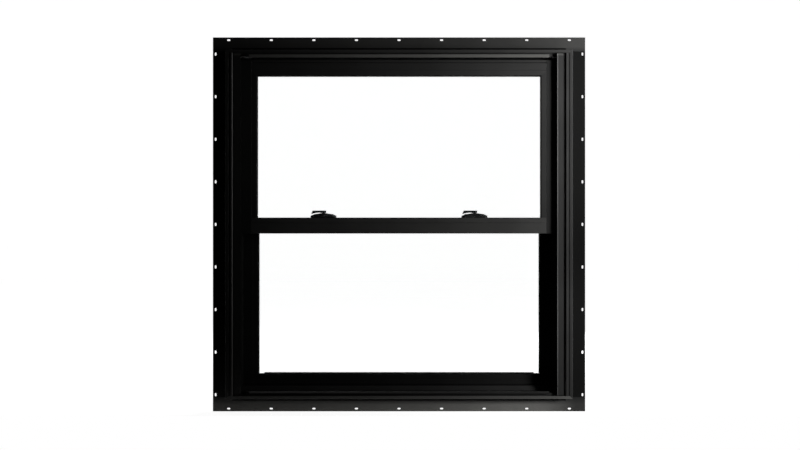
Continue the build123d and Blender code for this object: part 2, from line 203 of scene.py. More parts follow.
def white_paint(name, near_glow):
    """Diffuse paint that also glows for the rays that see it, up to white away from the window."""
    material, tree, output = shader_tree(name)
    paint = tree.nodes.new("ShaderNodeBsdfDiffuse")
    paint.inputs["Color"].default_value = pale_paint
    distance = tree.nodes.new("ShaderNodeVectorMath")
    distance.operation = "LENGTH"
    tree.links.new(object_place(tree), distance.inputs[0])
    level = spread(tree, distance.outputs["Value"], glow_start, glow_full, near_glow, 1.0)
    glow = tree.nodes.new("ShaderNodeEmission")
    glow.inputs["Color"].default_value = white
    seen = seen_rays(tree, "Is Camera Ray", "Is Glossy Ray", "Is Transmission Ray")
    tree.links.new(calculate(tree, "MULTIPLY", seen, level), glow.inputs["Strength"])
    both = tree.nodes.new("ShaderNodeAddShader")
    tree.links.new(paint.outputs[0], both.inputs[0])
    tree.links.new(glow.outputs[0], both.inputs[1])
    tree.links.new(both.outputs[0], output.inputs["Surface"])
    return material


def stage_plane(name, centre, tilt, shift, material):
    """Large plane whose mesh is shifted away from the object's own middle."""
    bpy.ops.object.select_all(action="DESELECT")
    bpy.ops.mesh.primitive_plane_add(size=studio_size, location=centre, rotation=tilt)
    plane = bpy.context.object
    plane.name = name
    bpy.ops.object.mode_set(mode="EDIT")
    bpy.ops.mesh.select_all(action="SELECT")
    bpy.ops.transform.translate(value=shift)
    bpy.ops.object.mode_set(mode="OBJECT")
    plane.data.materials.append(material)


floor_place = (0, 0, cad_low.z)
floor_shift = (0, studio_size / 2 - floor_front, 0)
stage_plane("floor", floor_place, (0, 0, 0), floor_shift, white_paint("floor paint", floor_glow))
backdrop_place = (0, backdrop_distance, cad_low.z)
backdrop_shift = (0, 0, studio_size / 2)
backdrop_paint = white_paint("backdrop paint", backdrop_glow)
stage_plane("backdrop", backdrop_place, (quarter_turn, 0, 0), backdrop_shift, backdrop_paint)
print("floor at", round(cad_low.z, 4), "backdrop at", backdrop_distance)

# %% [markdown]
# Satin black shows the studio more than its own colour. In the photograph the right side is lit, the
# left side falls away to black, and the covers throw a shadow on the stiles. A bare soft box lights
# the left side too much. So a column of lamps with grids stands close at the right, and a grid
# narrows a lamp's beam. The rest of the room stays dim. Two low boxes behind the window light its
# room side and miss the locks' tops.

# %% Gridded lamps in front and soft boxes behind
lamp_right = 0.86
lamp_front = -0.36
aim_right = 0.38
aim_front = -0.02
lamp_cone = 52
box_width = 1.2
box_height = 0.5


def hang(lamp_data, place, aim):
    """Lamp at its place, turned to its aim and hidden from the camera."""
    lamp = bpy.data.objects.new(lamp_data.name, lamp_data)
    lamp.location = place
    lamp.rotation_euler = (Vector(aim) - Vector(place)).to_track_quat("-Z", "Y").to_euler()
    lamp.visible_camera = False
    bpy.context.scene.collection.objects.link(lamp)


def gridded_lamp(name, height, radius, power):
    """Soft round lamp behind a grid, level with what it lights."""
    data = bpy.data.lights.new(name, "SPOT")
    data.shadow_soft_size = radius
    data.spot_size = radians(lamp_cone)
    data.spot_blend = 1.0
    data.energy = power
    hang(data, (lamp_right, lamp_front, height), (aim_right, aim_front, height))


def soft_box(name, place, power):
    """Wide low lamp that faces the middle of the window."""
    data = bpy.data.lights.new(name, "AREA")
    data.shape = "RECTANGLE"
    data.size = box_width
    data.size_y = box_height
    data.energy = power
    hang(data, place, (0, 0, window_middle))


gridded_lamp("key lamp 0", height=0.145, radius=0.06, power=15)
gridded_lamp("key lamp 1", height=0.36, radius=0.12, power=11)
gridded_lamp("key lamp 2", height=0.6, radius=0.12, power=26)
gridded_lamp("key lamp 3", height=0.86, radius=0.12, power=30)
soft_box("room side box", (1.3, 1.9, 0.35), power=24)
soft_box("room fill box", (-1.8, 1.6, 0.3), power=10)
print("lamps", [lamp.name for lamp in bpy.data.lights])

# %% Dim room
dim_level = 0.006
world = bpy.data.worlds.new("dim room")
bpy.context.scene.world = world
world.use_nodes = True
room = world.node_tree
room_light = room.nodes["Background"]
room_light.inputs["Color"].default_value = white
seen = seen_rays(room, "Is Camera Ray", "Is Transmission Ray")
room.links.new(between(room, seen, dim_level, 1.0), room_light.inputs["Strength"])
print("room level", dim_level)

# %% [markdown]
# Extruded plastic is never a flat tone. The die leaves faint lines along each member, handling leaves
# a haze, edges are rubbed paler, and dust settles on what faces up. Each effect is wanted on many
# pieces, so each is built once as a node group with its own inputs and gives only masks, which every
# finish then uses in its own way.


# %% Die lines and handling haze as node groups
def node_group(name, inputs, outputs):
    """Empty group with named inputs and mask outputs, and its two end nodes."""
    group = bpy.data.node_groups.new(name, "ShaderNodeTree")
    for socket, kind, value in inputs:
        made = group.interface.new_socket(socket, in_out="INPUT", socket_type=kind)
        made.default_value = value
    for socket in outputs:
        group.interface.new_socket(socket, in_out="OUTPUT", socket_type="NodeSocketFloat")
    return group, group.nodes.new("NodeGroupInput"), group.nodes.new("NodeGroupOutput")


stretch_input = ("Stretch", "NodeSocketVector", (1, 1, 1))
die_lines, given, result = node_group("die lines", [stretch_input], ["Lines"])
stretched = die_lines.nodes.new("ShaderNodeVectorMath")
stretched.operation = "MULTIPLY"
die_lines.links.new(object_place(die_lines), stretched.inputs[0])
die_lines.links.new(given.outputs["Stretch"], stretched.inputs[1])
streaks = noise(die_lines, stretched.outputs[0], scale=1.0)
die_lines.links.new(spread(die_lines, streaks, low=0.25, high=0.75), result.inputs["Lines"])

haze_inputs = [("Size", "NodeSocketFloat", 9.0), ("Grain Size", "NodeSocketFloat", 2600.0)]
handling_haze, given, result = node_group("handling haze", haze_inputs, ["Haze", "Grain"])
place = object_place(handling_haze)
cloud = noise(handling_haze, place, given.outputs["Size"], detail=6.0, rough=0.62)
handling_haze.links.new(spread(handling_haze, cloud, low=0.4, high=0.72), result.inputs["Haze"])
fine = noise(handling_haze, place, given.outputs["Grain Size"], detail=3.0)
handling_haze.links.new(fine, result.inputs["Grain"])
print("groups", [group.name for group in bpy.data.node_groups])

# %% Rubbed edges and settled dust as node groups
bevel_samples = 4
edge_rub, given, result = node_group("edge rub", [("Width", "NodeSocketFloat", 0.001)], ["Rub"])
softened = edge_rub.nodes.new("ShaderNodeBevel")
softened.samples = bevel_samples
edge_rub.links.new(given.outputs["Width"], softened.inputs["Radius"])
facing = edge_rub.nodes.new("ShaderNodeVectorMath")
facing.operation = "DOT_PRODUCT"
edge_rub.links.new(softened.outputs["Normal"], facing.inputs[0])
edge_rub.links.new(edge_rub.nodes.new("ShaderNodeNewGeometry").outputs["Normal"], facing.inputs[1])
edges = spread(edge_rub, facing.outputs["Value"], low=0.98, high=0.8)
worn = spread(edge_rub, noise(edge_rub, object_place(edge_rub), scale=60.0), low=0.4, high=0.65)
edge_rub.links.new(calculate(edge_rub, "MULTIPLY", edges, worn), result.inputs["Rub"])

dust_input = ("Cover", "NodeSocketFloat", 0.5)
settled_dust, given, result = node_group("settled dust", [dust_input], ["Dust"])
slope = settled_dust.nodes.new("ShaderNodeSeparateXYZ")
settled_dust.links.new(settled_dust.nodes.new("ShaderNodeNewGeometry").outputs["Normal"], slope.inputs[0])
upward = spread(settled_dust, slope.outputs["Z"], low=0.35, high=0.95)
patches = noise(settled_dust, object_place(settled_dust), scale=38.0, detail=8.0, rough=0.7)
drift = spread(settled_dust, patches, low=0.35, high=0.7, out_low=0.25)
lying = calculate(settled_dust, "MULTIPLY", upward, drift)
covered = calculate(settled_dust, "MULTIPLY", lying, given.outputs["Cover"])
settled_dust.links.new(covered, result.inputs["Dust"])
print("groups", [group.name for group in bpy.data.node_groups])

# %% [markdown]
# The black members share one recipe with different values. The colour goes from near black to a hazed
# black, edges and dust are mixed over it, the haze breaks up the roughness, and die lines and grain make
# a low bump. A rounded normal lets the corners catch light, as the small radius on every real extrusion
# does. Along an edge of some pieces, a shade adds its grey, as painted light and painted shade set for
# each piece below.


# %% Steps that every finish takes
def use_group(tree, group, **values):
    """Place a group with its own values, where an underscore stands for a space."""
    node = tree.nodes.new("ShaderNodeGroup")
    node.node_tree = group
    for socket, value in values.items():
        node.inputs[socket.replace("_", " ")].default_value = value
    return node.outputs


def rounded_edges(tree, radius):
    """Normal that turns smoothly round sharp edges."""
    edge = tree.nodes.new("ShaderNodeBevel")
    edge.samples = bevel_samples
    edge.inputs["Radius"].default_value = radius
    return edge.outputs["Normal"]


def bump(tree, height, normal, strength, distance):
    relief = tree.nodes.new("ShaderNodeBump")
    relief.inputs["Strength"].default_value = strength
    relief.inputs["Distance"].default_value = distance
    tree.links.new(height, relief.inputs["Height"])
    tree.links.new(normal, relief.inputs["Normal"])
    return relief.outputs["Normal"]


def principled(name, specular):
    """Material with one surface shader, ready for its inputs."""
    material, tree, output = shader_tree(name)
    surface = tree.nodes.new("ShaderNodeBsdfPrincipled")
    surface.inputs["Specular IOR Level"].default_value = specular
    tree.links.new(surface.outputs[0], output.inputs["Surface"])
    return material, tree, surface


def finish(tree, surface, colour, roughness, normal):
    """Link the three inputs that change over the surface."""
    tree.links.new(colour, surface.inputs["Base Color"])
    tree.links.new(roughness, surface.inputs["Roughness"])
    tree.links.new(normal, surface.inputs["Normal"])


print("finish helpers ready")

# %% Recipe for extruded black members
ALONG_X = (3.0, 420.0, 420.0)
ALONG_Z = (420.0, 420.0, 3.0)
RUBBED = (0.03, 0.03, 0.031)
DUST = (0.16, 0.155, 0.145)
SATIN = (0.52, 0.6)
dressed = []


def warm_grey(grey):
    """Grey with a little less green and blue, as worn black plastic has."""
    return grey, grey * 0.99, grey * 0.94


def shade(axis, edge, start, full, grey):
    """Painted grey, paler for painted light and darker for painted shade, that sets in at one distance
    from an edge of the piece and is full at another.
    """
    return axis, edge + start, edge + full, warm_grey(grey)


def extruded_black(name, stretch, tone, roughness=SATIN, specular=0.5, dust=0.3, rub=RUBBED, shades=()):
    """Black extrusion, from its darkest and palest grey and its smoothest and roughest value."""
    material, tree, surface = principled(name, specular)
    haze = use_group(tree, handling_haze, Size=7.0, Grain_Size=2600.0)
    lines = use_group(tree, die_lines, Stretch=stretch)["Lines"]
    colour = blend_colour(tree, haze["Haze"], *map(warm_grey, tone))
    place = tree.nodes.new("ShaderNodeSeparateXYZ")
    tree.links.new(object_place(tree), place.inputs[0])
    for axis, start, full, grey in shades:
        colour = blend_colour(tree, spread(tree, place.outputs[axis], start, full), colour, grey)
    colour = blend_colour(tree, use_group(tree, edge_rub, Width=0.0007)["Rub"], colour, rub)
    colour = blend_colour(tree, use_group(tree, settled_dust, Cover=dust)["Dust"], colour, DUST)
    rounded = rounded_edges(tree, radius=0.0004)
    grained = bump(tree, haze["Grain"], rounded, strength=0.12, distance=0.0002)
    lined = bump(tree, lines, grained, strength=0.1, distance=0.0003)
    finish(tree, surface, colour, between(tree, haze["Haze"], *roughness), lined)
    return material


def dress(material, *names):
    """Give CAD nodes their finish."""
    for name in names:
        nodes[name].material_slots[0].material = material
    dressed.extend(names)
    print(material.name, "on", len(names))


print("satin roughness", SATIN)

# %% [markdown]
# The frame is four mitred extrusions with clip-on covers and stops. One black for all of them would do,
# but here each piece's grey also carries painted light. The head extrusion is painted a little paler than
# the jambs, and the strip across the head is the palest and smoothest piece, its pale tone a painted
# highlight. The front lip of the sill is painted paler as painted light from below, and the top ends of
# the covers carry a painted highlight.

# %% Frame, covers and stops
frame_tone = (0.009, 0.013)
lip_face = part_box("frame_sill")[0].y
cover_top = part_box("jamb_cover_left")[1].z
# Painted light: the sill's front lip paler, for light from below.
sill_lip_painted_light = shade("Y", lip_face, start=0.003, full=0.001, grey=0.1)
# Painted highlight: the top ends of the covers paler.
cover_end_highlight = shade("Z", cover_top, start=-0.0052, full=-0.0044, grey=0.05)

# The head extrusion's paler tone is a painted light.
dress(extruded_black("head extrusion", ALONG_X, tone=(0.014, 0.019)), "frame_head")
sill_black = extruded_black("sill extrusion", ALONG_X, frame_tone, dust=0.0, shades=[sill_lip_painted_light])
dress(sill_black, "frame_sill")
dress(extruded_black("jamb extrusion", ALONG_Z, frame_tone), "frame_jamb_left", "frame_jamb_right")
cover_black = extruded_black(
    "jamb cover extrusion", ALONG_Z, tone=(0.01, 0.014), roughness=(0.5, 0.58), shades=[cover_end_highlight]
)
dress(cover_black, "jamb_cover_left", "jamb_cover_right")
# The head strip's pale tone is a painted highlight.
head_strip = extruded_black("head strip extrusion", ALONG_X, tone=(0.09, 0.11), roughness=(0.46, 0.52))
dress(head_strip, "head_stop")
sill_strip = extruded_black(
    "sill strip extrusion", ALONG_X, tone=(0.013, 0.018), dust=0.0, rub=warm_grey(0.011)
)
dress(sill_strip, "sill_stop")

# %% [markdown]
# The nailing fin is a thin flange, nailed to the wall and then covered, so nobody polishes it. The side
# fins are the dullest of the extrusions, painted near black as painted shade. The head fin is close to
# the frame's black, and the sill fin is painted pale as painted light from below. Beside the frame both
# are painted darker as painted shade, and so is the right end of the sill fin.

# %% Nailing fins
head_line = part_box("frame_head")[1].z
sill_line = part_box("frame_sill")[0].z
# Painted shade: the head and sill fins darker beside the frame, and the sill fin darker towards its right
# end.
head_fin_root_shade = shade("Z", head_line, start=0.011, full=0.003, grey=0.004)
sill_fin_root_shade = shade("Z", sill_line, start=-0.018, full=-0.003, grey=0.008)
sill_fin_end_shade = shade("X", fin_high.x, start=-0.114, full=-0.024, grey=0.03)

head_fin = extruded_black(
    "head fin extrusion", ALONG_X, tone=(0.022, 0.028), specular=0.42, shades=[head_fin_root_shade]
)
dress(head_fin, "nail_fin_head")
# The sill fin's pale tone is painted light from below.
sill_fin = extruded_black(
    "sill fin extrusion", ALONG_X, tone=(0.19, 0.24), roughness=(0.56, 0.66), specular=0.3,
    shades=[sill_fin_end_shade, sill_fin_root_shade],
)
dress(sill_fin, "nail_fin_sill")
# The side fins' near-black tone is painted shade.
side_fin = extruded_black(
    "side fin extrusion", ALONG_Z, tone=(0.0018, 0.003), roughness=(0.7, 0.78), specular=0.12
)
dress(side_fin, "nail_fin_left", "nail_fin_right")

# %% [markdown]
# Each sash is four rails and stiles with clip-in beads round the glass. Rails are extruded across and
# stiles upright, so their die lines run along them. The meeting rail is painted paler than the rails
# above and below it, a painted light, and the lower sash, which stands deeper in the frame, is painted
# the darker of the two as painted shade. The upper stiles are painted a little darker than the upper
# rails, a painted shade.

# %% Sashes and beads
upper_rail = extruded_black("upper rail extrusion", ALONG_X, tone=(0.009, 0.012))
# The meeting rail's paler tone is a painted light.
meeting_rail = extruded_black("meeting rail extrusion", ALONG_X, tone=(0.024, 0.032))
# The upper stiles' darker tone is a painted shade from the covers.
upper_stile = extruded_black("upper stile extrusion", ALONG_Z, tone=(0.006, 0.008), specular=0.36)
upper_bead = extruded_black("upper bead extrusion", ALONG_Z, tone=(0.009, 0.013), specular=0.38)
dress(upper_rail, "upper_top_rail", "upper_bead_top")
dress(meeting_rail, "upper_meeting_rail")
dress(upper_stile, "upper_stile_left", "upper_stile_right")
dress(upper_bead, "upper_bead_left", "upper_bead_right")

# Painted shade: the lower sash darker than the upper, for the shade it stands in.
lower_look = {"tone": (0.0025, 0.0045), "roughness": (0.56, 0.64), "specular": 0.25}
lower_rail = extruded_black("lower rail extrusion", ALONG_X, **lower_look)
lower_stile = extruded_black("lower stile extrusion", ALONG_Z, **lower_look)
dress(lower_rail, "lower_check_rail", "lower_bottom_rail", "lower_bead_bottom")
dress(lower_stile, "lower_stile_left", "lower_stile_right", "lower_bead_left", "lower_bead_right")

# %% [markdown]
# The panes are clear float glass. Straight through they add almost nothing to the white behind, so
# the glass is mostly see-through and keeps only a faint green body and a polished shine for slanting
# views. A trace of haze from the last wipe varies the polish.

# %% Clear float glass
glass, tree, pane = principled("clear float glass", specular=0.5)
pane.inputs["Base Color"].default_value = (0.95, 0.99, 0.97, 1)
pane.inputs["IOR"].default_value = 1.45
pane.inputs["Transmission Weight"].default_value = 1.0
pane.inputs["Alpha"].default_value = 0.07
wiped = use_group(tree, handling_haze, Size=5.0, Grain_Size=900.0)["Haze"]
tree.links.new(between(tree, wiped, 0.005, 0.03), pane.inputs["Roughness"])
dress(glass, "upper_glass_outer", "upper_glass_inner", "lower_glass_outer", "lower_glass_inner")

# %% [markdown]
# The locks, keepers and latches are die cast and painted. Sprayed paint dries with a slight orange
# peel, and fingers wear it along the edges of the levers first. A coarse noise as bump gives the
# peel. The rubbed edges are wider here than on the plastic, and paler on the levers than on the
# housings.


# %% Painted die castings
def painted_casting(name, rub, roughness):
    material, tree, surface = principled(name, specular=0.28)
    haze = use_group(tree, handling_haze, Size=40.0, Grain_Size=1400.0)
    colour = blend_colour(tree, haze["Haze"], (0.007, 0.007, 0.0075), (0.011, 0.011, 0.0115))
    colour = blend_colour(tree, use_group(tree, edge_rub, Width=0.0009)["Rub"], colour, rub)
    colour = blend_colour(tree, use_group(tree, settled_dust, Cover=0.12)["Dust"], colour, DUST)
    peel = bump(tree, haze["Grain"], rounded_edges(tree, radius=0.0006), strength=0.25, distance=0.0003)
    finish(tree, surface, colour, between(tree, haze["Haze"], *roughness), peel)
    return material


housing_paint = painted_casting("lock housing paint", rub=warm_grey(0.014), roughness=(0.42, 0.5))
lever_paint = painted_casting("lock lever paint", rub=warm_grey(0.024), roughness=(0.34, 0.44))
dress(housing_paint, "lock_base_left", "lock_base_right", "lock_keeper_left", "lock_keeper_right")
dress(lever_paint, "lock_lever_left", "lock_lever_right")
dress(housing_paint, "tilt_latch_left", "tilt_latch_right")

# %% [markdown]
# Hidden parts are dressed too, because they show when the model is taken apart. The spacer between
# the panes is a matte black bar, the balance shoes are moulded grey plastic with a coarse
# spark-eroded grain, and the balance channels are galvanised sheet, whose zinc freezes in spangles.
# Voronoi cells give each spangle its own tone.

# %% Spacer bars
spacer_black = extruded_black(
    "spacer bar", (60.0, 60.0, 60.0), tone=(0.02, 0.03), roughness=(0.62, 0.75), specular=0.3, dust=0.0
)
dress(spacer_black, "upper_spacer", "lower_spacer")

# %% Moulded balance shoes
moulded, tree, surface = principled("moulded balance shoe", specular=0.45)
haze = use_group(tree, handling_haze, Size=30.0, Grain_Size=1100.0)
colour = blend_colour(tree, haze["Haze"], (0.042, 0.042, 0.044), (0.06, 0.06, 0.062))
roughness = spread(tree, haze["Grain"], low=0.3, high=0.7, out_low=0.4, out_high=0.55)
eroded = bump(tree, haze["Grain"], rounded_edges(tree, radius=0.0008), strength=0.3, distance=0.0003)
finish(tree, surface, colour, roughness, eroded)
dress(moulded, "upper_balance_shoes", "lower_balance_shoes")

# %% Galvanised balance channels
galvanised, tree, surface = principled("galvanised balance channel", specular=0.5)
surface.inputs["Metallic"].default_value = 1.0
spangle = tree.nodes.new("ShaderNodeTexVoronoi")
spangle.inputs["Scale"].default_value = 140.0
tree.links.new(object_place(tree), spangle.inputs["Vector"])
crystal = tree.nodes.new("ShaderNodeSeparateColor")
tree.links.new(spangle.outputs["Color"], crystal.inputs[0])
colour = blend_colour(tree, crystal.outputs["Red"], (0.4, 0.41, 0.42), (0.52, 0.53, 0.54))
roughness = between(tree, crystal.outputs["Green"], 0.34, 0.5)
finish(tree, surface, colour, roughness, rounded_edges(tree, radius=0.0003))
dress(galvanised, "lower_balance_channels")

# %% [markdown]
# Seals come in two kinds. Gaskets and bulbs are soft rubber, nearly black and very matte, with a pale
# bloom in places. Brush seals are woven pile, whose fibre ends catch a little light from the side, so
# they get a trace of sheen. The pieces that follow are modelled and take these two finishes.

# %% Rubber and pile
rubber, tree, surface = principled("gasket rubber", specular=0.05)
haze = use_group(tree, handling_haze, Size=25.0, Grain_Size=3000.0)
colour = blend_colour(tree, haze["Haze"], (0.0012, 0.0012, 0.0013), (0.0025, 0.0025, 0.0025))
matte = bump(tree, haze["Grain"], rounded_edges(tree, radius=0.0003), strength=0.2, distance=0.0002)
finish(tree, surface, colour, between(tree, haze["Haze"], 0.85, 0.95), matte)

pile_fibre, tree, surface = principled("pile fibre", specular=0.2)
surface.inputs["Sheen Weight"].default_value = 0.05
surface.inputs["Sheen Roughness"].default_value = 0.6
fibres = use_group(tree, die_lines, Stretch=(4000.0, 4000.0, 120.0))["Lines"]
colour = blend_colour(tree, fibres, (0.003, 0.003, 0.0032), (0.007, 0.007, 0.0073))
strands = bump(tree, fibres, rounded_edges(tree, radius=0.0002), strength=0.4, distance=0.0003)
finish(tree, surface, colour, between(tree, fibres, 0.8, 0.95), strands)
print("seal finishes", rubber.name, pile_fibre.name)

# %% [markdown]
# New pieces are modelled as by hand: a primitive at its size and place, then edit mode. An operator acts
# on whatever is selected, so each step deselects everything and picks faces or edges by their place.
# Every finished piece keeps its object at the origin with its place in the mesh, and rides on a body.


# %% Hold a piece and start a bar
def hold(piece):
    """Select one piece alone and make it active."""
    bpy.ops.object.select_all(action="DESELECT")
    piece.select_set(True)
    bpy.context.view_layer.objects.active = piece


def keep_place(piece):
    """Put an object's place, turn and size into its mesh."""
    hold(piece)
    bpy.ops.object.transform_apply(location=True, rotation=True, scale=True)
    return piece


def bar(name, low, high):
    """Cube stretched between two corners, as the start of a piece."""
    bpy.ops.object.select_all(action="DESELECT")
    middle = [(a + b) / 2 for a, b in zip(low, high)]
    lengths = [b - a for a, b in zip(low, high)]
    bpy.ops.mesh.primitive_cube_add(size=1, location=middle, scale=lengths)
    bpy.context.object.name = name
    return keep_place(bpy.context.object)


print("bar helpers ready")

# %% Pick faces or edges, and fit a finished piece
STRAIGHT = 0.9
SQUARE = 0.1
TINY = 1e-6
SMOOTH_BELOW = radians(35)


def pick(piece, kind, test):
    """Enter edit mode with the faces or edges selected whose middle and direction pass the test."""
    hold(piece)
    bpy.ops.object.mode_set(mode="EDIT")
    bpy.ops.mesh.select_mode(type=kind)
    bpy.ops.mesh.select_all(action="DESELECT")
    bpy.ops.object.mode_set(mode="OBJECT")
    points = piece.data.vertices
    for item in piece.data.polygons if kind == "FACE" else piece.data.edges:
        if kind == "FACE":
            item.select = test(item.center, item.normal)
        else:
            a, b = (points[index].co for index in item.vertices)
            item.select = test((a + b) / 2, (b - a).normalized())
    bpy.ops.object.mode_set(mode="EDIT")


def leave_edit():
    bpy.ops.object.mode_set(mode="OBJECT")


def fit(piece, material):
    """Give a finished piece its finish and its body."""
    piece.data.materials.clear()
    piece.data.materials.append(material)
    hold(piece)
    bpy.ops.object.shade_smooth_by_angle(angle=SMOOTH_BELOW)
    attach(piece, "window")
    print(piece.name, len(piece.data.polygons), "faces")


print("picking helpers ready")

# %% [markdown]
# The head and sill fins snap into the frame along a narrow kerf, which shows as a black line beside the
# lip. A soft near-black rubber strip fills it, a painted shadow: a dark piece that stands in for the
# shade in the gap. It could be a plain bar, but it is shaped like a pressed-in seal that bulges, so the
# front face is inset and pushed out, and the long edges are rounded.

# %% Shadow strips in the kerfs of the head and sill fins
kerf_offset = 0.0045
kerf_width = 0.0032
kerf_depth = 0.0012
kerf_inset = 0.0125
kerf_crown = 0.0004
kerf_bulge = 0.0003
fin_face = fin_low.y
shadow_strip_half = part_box("frame_head")[1].x - kerf_inset


def kerf_shadow_strip(name, edge, sign):
    """Near-black strip in the kerf of a fin, outward of the frame's edge, a painted shadow."""
    low, high = sorted((edge + sign * kerf_offset, edge + sign * (kerf_offset + kerf_width)))
    face = fin_face + kerf_crown
    strip = bar(name, (-shadow_strip_half, face, low), (shadow_strip_half, fin_face + kerf_depth, high))
    pick(strip, "FACE", lambda middle, normal: normal.y < -STRAIGHT)
    bpy.ops.mesh.inset(thickness=kerf_width / 4)
    bpy.ops.transform.translate(value=(0, -kerf_bulge, 0))
    leave_edit()
    front = face + kerf_crown / 4
    pick(strip, "EDGE", lambda middle, way: abs(way.x) > STRAIGHT and middle.y < front)
    bpy.ops.mesh.bevel(offset=kerf_crown / 3, segments=2)
    leave_edit()
    return strip


fit(kerf_shadow_strip("head_kerf_shadow_strip", head_line, 1), rubber)
fit(kerf_shadow_strip("sill_kerf_shadow_strip", sill_line, -1), rubber)

# %% [markdown]
# Where each pane meets its bead or rail, a thin glazing gasket shows as a dark edge. It is a frame
# with mitred corners, so it starts as a plane of the daylight's size. The plane is inset, its middle
# deleted, the ring that is left extruded away from the glass, and its crest rounded.

# %% Glazing gaskets round the panes
gasket_width = 0.0003
outer_height = 0.0034
inner_height = 0.0004
daylight_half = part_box("upper_bead_right")[0].x


def gasket(name, low, high, glass_face, height):
    """Ring just inside the daylight opening, standing on the glass. Its height is along Y."""
    bpy.ops.object.select_all(action="DESELECT")
    middle = (0, glass_face, (low + high) / 2)
    bpy.ops.mesh.primitive_plane_add(size=1, location=middle, rotation=(quarter_turn, 0, 0))
    ring = bpy.context.object
    ring.name = name
    ring.scale = (2 * daylight_half, high - low, 1)
    keep_place(ring)
    pick(ring, "FACE", lambda middle, normal: True)
    bpy.ops.mesh.inset(thickness=gasket_width)
    bpy.ops.mesh.delete(type="FACE")
    bpy.ops.mesh.select_all(action="SELECT")
    bpy.ops.mesh.extrude_region_move(TRANSFORM_OT_translate={"value": (0, height, 0)})
    bpy.ops.mesh.select_all(action="SELECT")
    bpy.ops.mesh.normals_make_consistent(inside=False)
    leave_edit()
    crest = glass_face + height
    near = abs(height) / 4
    pick(ring, "EDGE", lambda middle, way: abs(way.y) < SQUARE and abs(middle.y - crest) < near)
    bpy.ops.mesh.bevel(offset=gasket_width / 4, segments=2)
    leave_edit()
    return ring


meeting_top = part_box("upper_meeting_rail")[1].z
check_low, check_high = (corner.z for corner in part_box("lower_check_rail"))
upper_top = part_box("upper_bead_top")[0].z
lower_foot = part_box("lower_bead_bottom")[1].z
daylights = (
    ("upper", meeting_top, check_high, upper_top),
    ("lower", lower_foot, lower_foot, check_low),
)
for sash, outer_low, inner_low, high in daylights:
    outer_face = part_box(f"{sash}_glass_outer")[0].y
    inner_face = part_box(f"{sash}_glass_inner")[1].y
    fit(gasket(f"{sash}_outer_gasket", outer_low, high, outer_face, -outer_height), rubber)
    fit(gasket(f"{sash}_inner_gasket", inner_low, high, inner_face, inner_height), rubber)

# %% [markdown]
# Brush seals close the gaps above the upper sash and between the meeting rails. The CAD model holds
# each as a plain bar. Here a woven backing carries a row of tufts. Five tufts with different leans
# are modelled, and an array repeats them along the strip, so the row looks brushed but stays light.


# %% Arrays and joined pieces
def apply_modifiers(piece):
    hold(piece)
    for modifier in list(piece.modifiers):
        bpy.ops.object.modifier_apply(modifier=modifier.name)


def repeat_along_x(piece, pitch, count):
    """Row of a piece with an array, applied to its mesh."""
    row = piece.modifiers.new("row", "ARRAY")
    row.use_relative_offset = False
    row.use_constant_offset = True
    row.constant_offset_displace = (pitch, 0, 0)
    row.count = count
    apply_modifiers(piece)


def join(name, *pieces):
    bpy.ops.object.select_all(action="DESELECT")
    for piece in pieces:
        piece.select_set(True)
    bpy.context.view_layer.objects.active = pieces[0]
    bpy.ops.object.join()
    pieces[0].name = name
    return pieces[0]


print("array helpers ready")

# %% Tufted pile strips
tuft_pitch = 0.0014
tuft_width = 0.0011
tuft_share = 0.82
backing_height = 0.0008
tuft_leans = (0.0, 0.00035, -0.0002, 0.00015, -0.0004)


def tuft(lean, across, height):
    """One splayed tuft on the backing, at the start of a row along X."""
    low = (-tuft_width / 2, -across / 2, backing_height / 2)
    piece = bar("tuft", low, (tuft_width / 2, across / 2, height))
    pick(piece, "EDGE", lambda middle, way: abs(way.z) > STRAIGHT)
    bpy.ops.mesh.bevel(offset=tuft_width / 4, segments=1)
    leave_edit()
    pick(piece, "FACE", lambda middle, normal: normal.z > STRAIGHT)
    bpy.ops.mesh.inset(thickness=tuft_width / 5)
    bpy.ops.transform.translate(value=(lean, lean / 2, 0))
    leave_edit()
    return piece


def pile_strip(name, length, across, height):
    """Strip along X at the origin that grows in Z."""
    backing = bar("backing", (-length / 2, -across / 2, 0), (length / 2, across / 2, backing_height))
    pick(backing, "EDGE", lambda middle, way: abs(way.x) > STRAIGHT and middle.z > backing_height / 2)
    bpy.ops.mesh.bevel(offset=backing_height / 3, segments=2)
    leave_edit()
    tufts = []
    for step, lean in enumerate(tuft_leans):
        piece = tuft(lean, across * tuft_share, height - abs(lean) / 2)
        piece.location.x = (step + 0.5) * tuft_pitch - length / 2
        tufts.append(keep_place(piece))
    row = join("tufts", *tufts)
    group_pitch = tuft_pitch * len(tuft_leans)
    repeat_along_x(row, group_pitch, int(length / group_pitch))
    return join(name, backing, row)


def set_pile(name, node, turned):
    """Pile strip in place of a CAD bar: unturned it grows upward, turned it grows towards the room."""
    low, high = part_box(node)
    middle = (low + high) / 2
    size = high - low
    if turned:
        strip = pile_strip(name, size.x, across=size.z, height=size.y)
        strip.rotation_euler = (-quarter_turn, 0, 0)
        strip.location = (middle.x, low.y, middle.z)
    else:
        strip = pile_strip(name, size.x, across=size.y, height=size.z)
        strip.location = (middle.x, middle.y, low.z)
    fit(keep_place(strip), pile_fibre)
    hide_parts(node)


set_pile("head_brush", "head_pile", turned=False)
set_pile("meeting_brush", "meeting_pile", turned=True)

# %% [markdown]
# The lower sash closes on a bulb seal. Pressed by the sash, its two bulbs lie flat and wide. Each
# starts as a cylinder along the sill, flattened to the gap and hollowed at its ends. A web with
# rounded edges joins them.

# %% Bulb seal under the lower sash
bulb_sides = 28
bulb_low, bulb_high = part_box("sill_seal")
bulb_length, bulb_span, bulb_height = bulb_high - bulb_low
bulb_middle = (bulb_low + bulb_high) / 2
bulb_half = bulb_span / 4
bulb_end = bulb_length / 2
web_foot = 0.3
web_drop = 0.2


